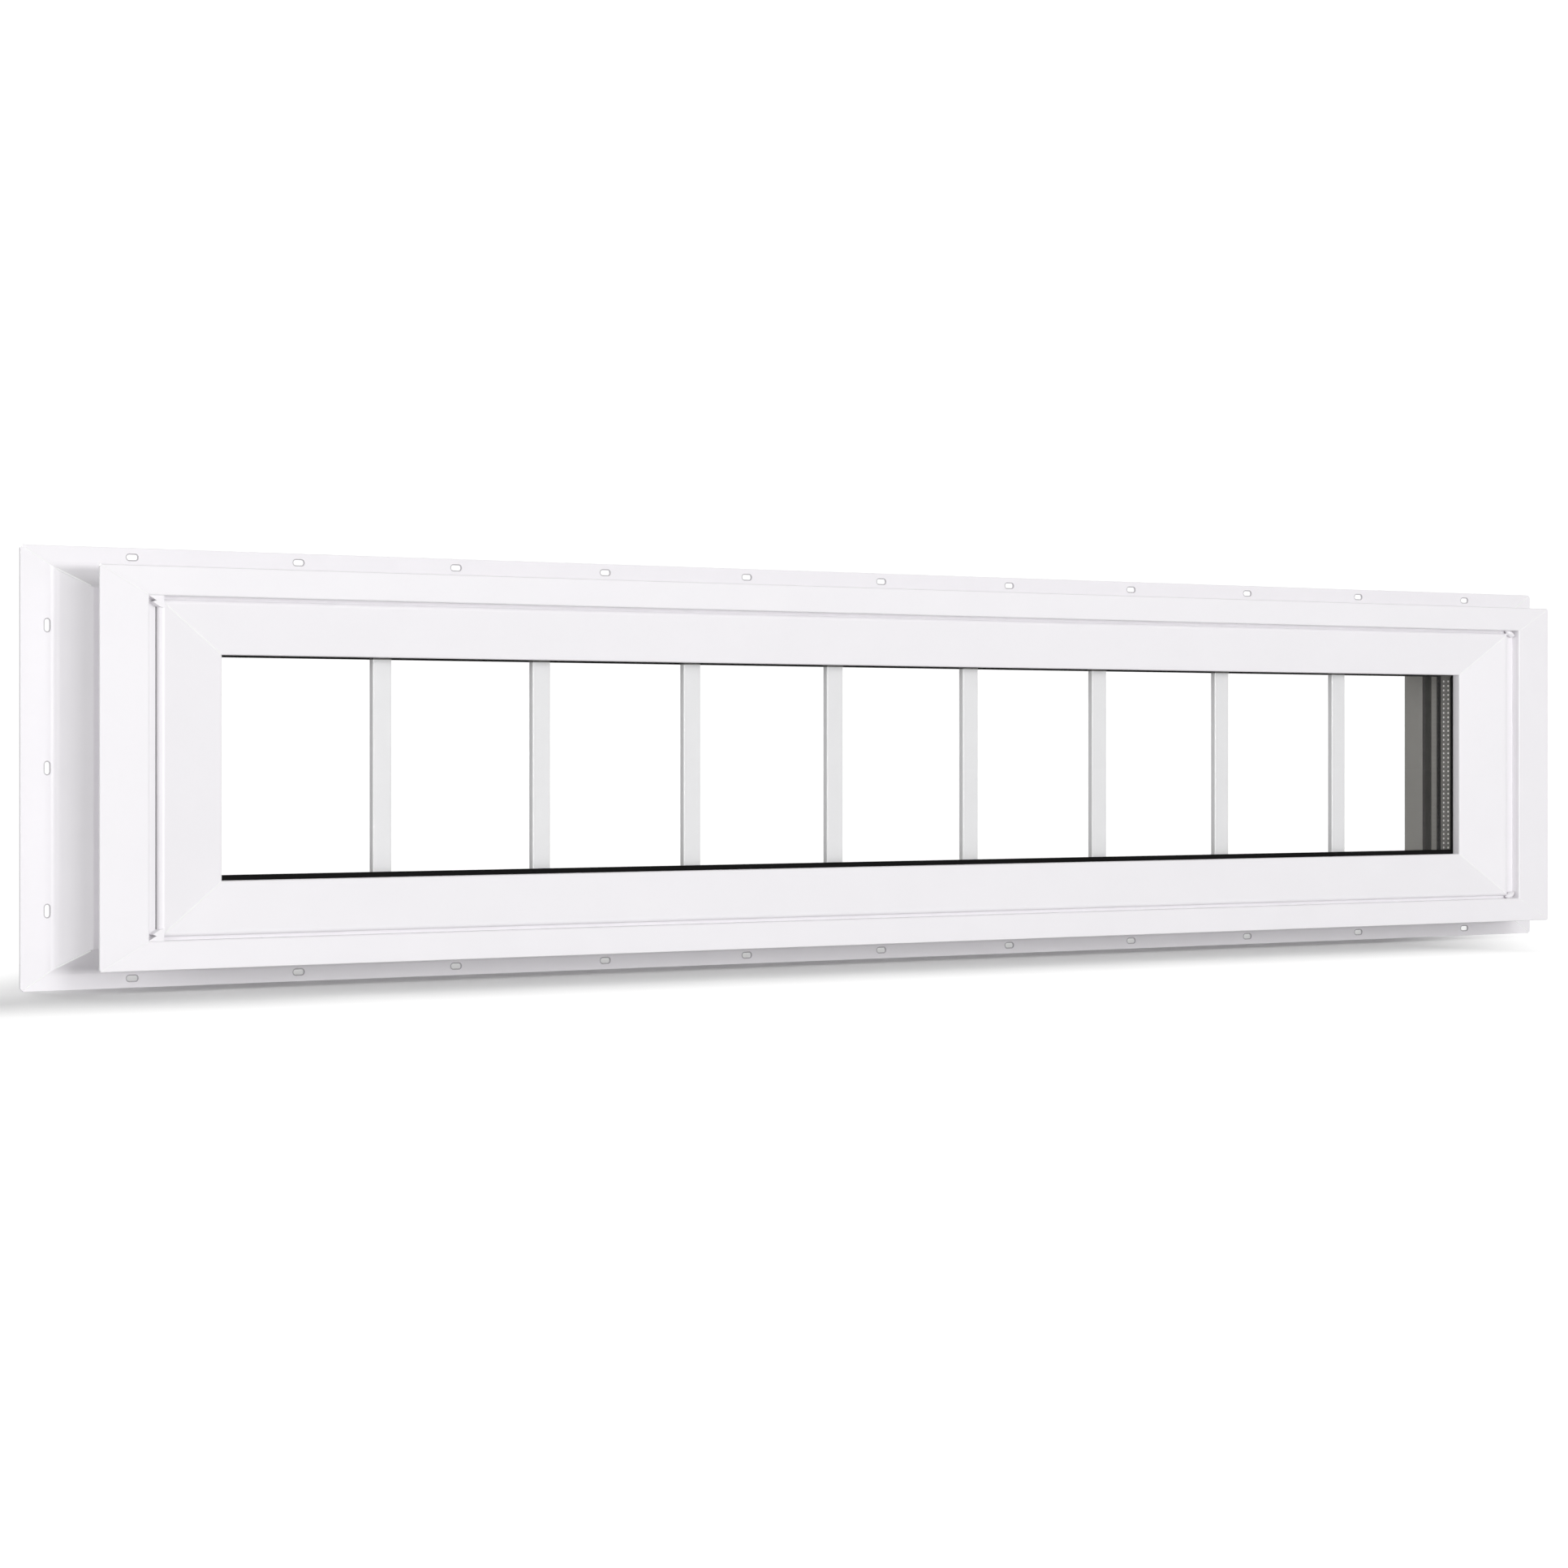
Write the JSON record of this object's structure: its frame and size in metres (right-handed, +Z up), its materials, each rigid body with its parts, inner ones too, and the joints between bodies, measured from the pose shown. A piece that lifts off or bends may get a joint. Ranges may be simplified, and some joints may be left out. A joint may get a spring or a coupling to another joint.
{
  "type": "transom window",
  "caption": "Long low fixed transom window in white vinyl with a nailing fin, wide front flange, double glazing and flat grille bars between the panes.",
  "frame": {"origin": "on the back face of the nailing fin, 25.5 mm above the middle of the window's lower edge", "axes": "+X along the window to the right as seen from outside, +Y into the wall, +Z up; the outside face looks towards -Y"},
  "size_m": [1.67, 0.091, 0.34],
  "materials": {
    "white_vinyl": "satin",
    "grey_bead": "satin",
    "black_rubber": "matte",
    "black_sealant": "matte",
    "block_rubber": "matte",
    "spacer_metal": "satin",
    "clear_glass": "polished",
    "bar_paint": "satin",
    "clip_plastic": "matte"
  },
  "bodies": {
    "root": {"frame_head": "white_vinyl", "frame_sill": "white_vinyl", "frame_jamb_left": "white_vinyl", "frame_jamb_right": "white_vinyl", "sash_top": "white_vinyl", "sash_bottom": "white_vinyl", "sash_left": "white_vinyl", "sash_right": "white_vinyl", "glazing_bead_top": "grey_bead", "glazing_bead_bottom": "grey_bead", "glazing_bead_left": "grey_bead", "glazing_bead_right": "grey_bead", "outer_gasket_top": "black_rubber", "outer_gasket_bottom": "black_rubber", "outer_gasket_left": "black_rubber", "outer_gasket_right": "black_rubber", "inner_gasket_top": "black_rubber", "inner_gasket_bottom": "black_rubber", "inner_gasket_left": "black_rubber", "inner_gasket_right": "black_rubber", "spacer_top": "spacer_metal", "spacer_bottom": "spacer_metal", "spacer_left": "spacer_metal", "spacer_right": "spacer_metal", "glass_outer_pane": "clear_glass", "glass_inner_pane": "clear_glass", "edge_seal": "black_sealant", "setting_blocks": "block_rubber", "grille_bar_1": "bar_paint", "grille_bar_2": "bar_paint", "grille_bar_3": "bar_paint", "grille_bar_4": "bar_paint", "grille_bar_5": "bar_paint", "grille_bar_6": "bar_paint", "grille_bar_7": "bar_paint", "grille_bar_8": "bar_paint", "grille_clips_top": "clip_plastic", "grille_clips_bottom": "clip_plastic"}
  },
  "joints": []
}
